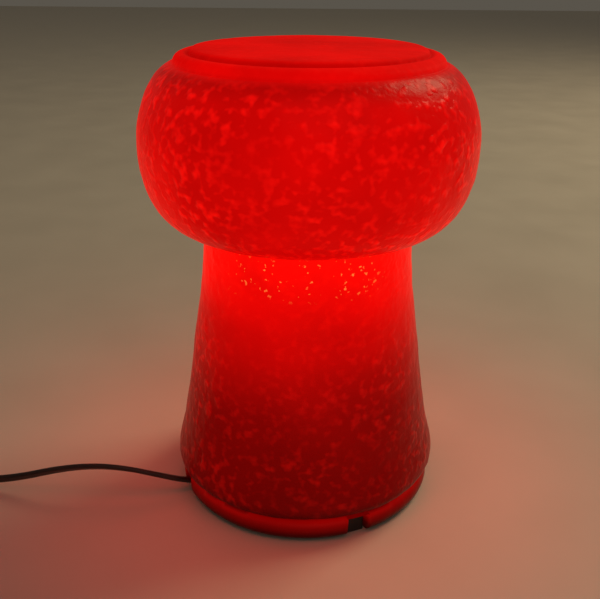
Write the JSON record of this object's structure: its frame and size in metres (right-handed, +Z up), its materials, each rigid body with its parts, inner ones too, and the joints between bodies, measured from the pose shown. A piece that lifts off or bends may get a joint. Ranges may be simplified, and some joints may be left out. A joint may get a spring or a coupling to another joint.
{
  "type": "table lamp",
  "caption": "Glass table lamp shaped like a champagne cork, lit from inside, with a flat flex, an in-line switch, a coil of flex and a two-pin plug.",
  "frame": {"origin": "on the table under the middle of the lamp, without its lead", "axes": "+Z up along the glass's axis, -Y towards the front of the lamp as pictured, the lead leaves towards -X"},
  "size_m": [0.4305, 0.2041, 0.25],
  "materials": {
    "red_glass": "mottled cast glass, red all through, gloss",
    "black_rubber": "matt",
    "zinc_steel": "satin",
    "screw_steel": "bright",
    "black_plastic": "satin",
    "cord_sheath": "smooth",
    "brass_metal": "satin",
    "white_ceramic": "glazed",
    "brown_insulation": "smooth",
    "blue_insulation": "smooth",
    "cap_metal": "bright",
    "black_glass_insulator": "gloss",
    "solder": "dull",
    "bulb_glass": "frosted, lit",
    "clear_glass": "clear",
    "filament_glow": "glowing",
    "wire_metal": "plain",
    "pin_metal": "bright"
  },
  "bodies": {
    "base": {"rubber_feet": "black_rubber", "cord_foot": "black_rubber", "base_plate": "zinc_steel", "holder_bridge": "zinc_steel", "bridge_screws": "screw_steel", "cord_clamp": "black_plastic", "clamp_screws": "screw_steel", "inner_cord": "cord_sheath", "threaded_tube": "brass_metal", "tube_nut": "brass_metal", "holder_body": "white_ceramic", "terminal_screws": "brass_metal", "centre_contact": "brass_metal", "screw_shell": "brass_metal", "live_wire": "brown_insulation", "neutral_wire": "blue_insulation", "switch_base": "black_plastic", "switch_cover": "black_plastic", "rocker_pin": "screw_steel", "switch_contacts": "brass_metal", "switch_screws": "screw_steel", "cord_to_switch": "cord_sheath", "cord_to_coil": "cord_sheath", "cord_coil": "cord_sheath", "cord_to_plug": "cord_sheath", "coil_tie": "black_plastic", "plug_body": "black_plastic", "plug_pins": "pin_metal", "pin_sleeves": "black_plastic"},
    "glass": {"glass_body": "red_glass"},
    "bulb": {"bulb_cap": "cap_metal", "bulb_insulator": "black_glass_insulator", "bulb_tip": "solder", "bulb_glass": "bulb_glass", "bulb_stem": "clear_glass", "filament": "filament_glow", "filament_leads": "wire_metal"},
    "rocker": {"rocker": "black_plastic"}
  },
  "joints": [
    {"name": "glass_lift", "type": "slide", "parent": "base", "child": "glass", "axis": [0, 0, 1], "range_m": [0, 0.15]},
    {"name": "bulb_unscrew", "type": "slide", "parent": "base", "child": "bulb", "axis": [0, 0, 1], "range_m": [0, 0.0145]},
    {"name": "rocker_tilt", "type": "hinge", "parent": "base", "child": "rocker", "pos_m": [-0.23, -0.0274, 0.0125], "axis": [0, -1, 0], "range_deg": [0, 16]}
  ]
}
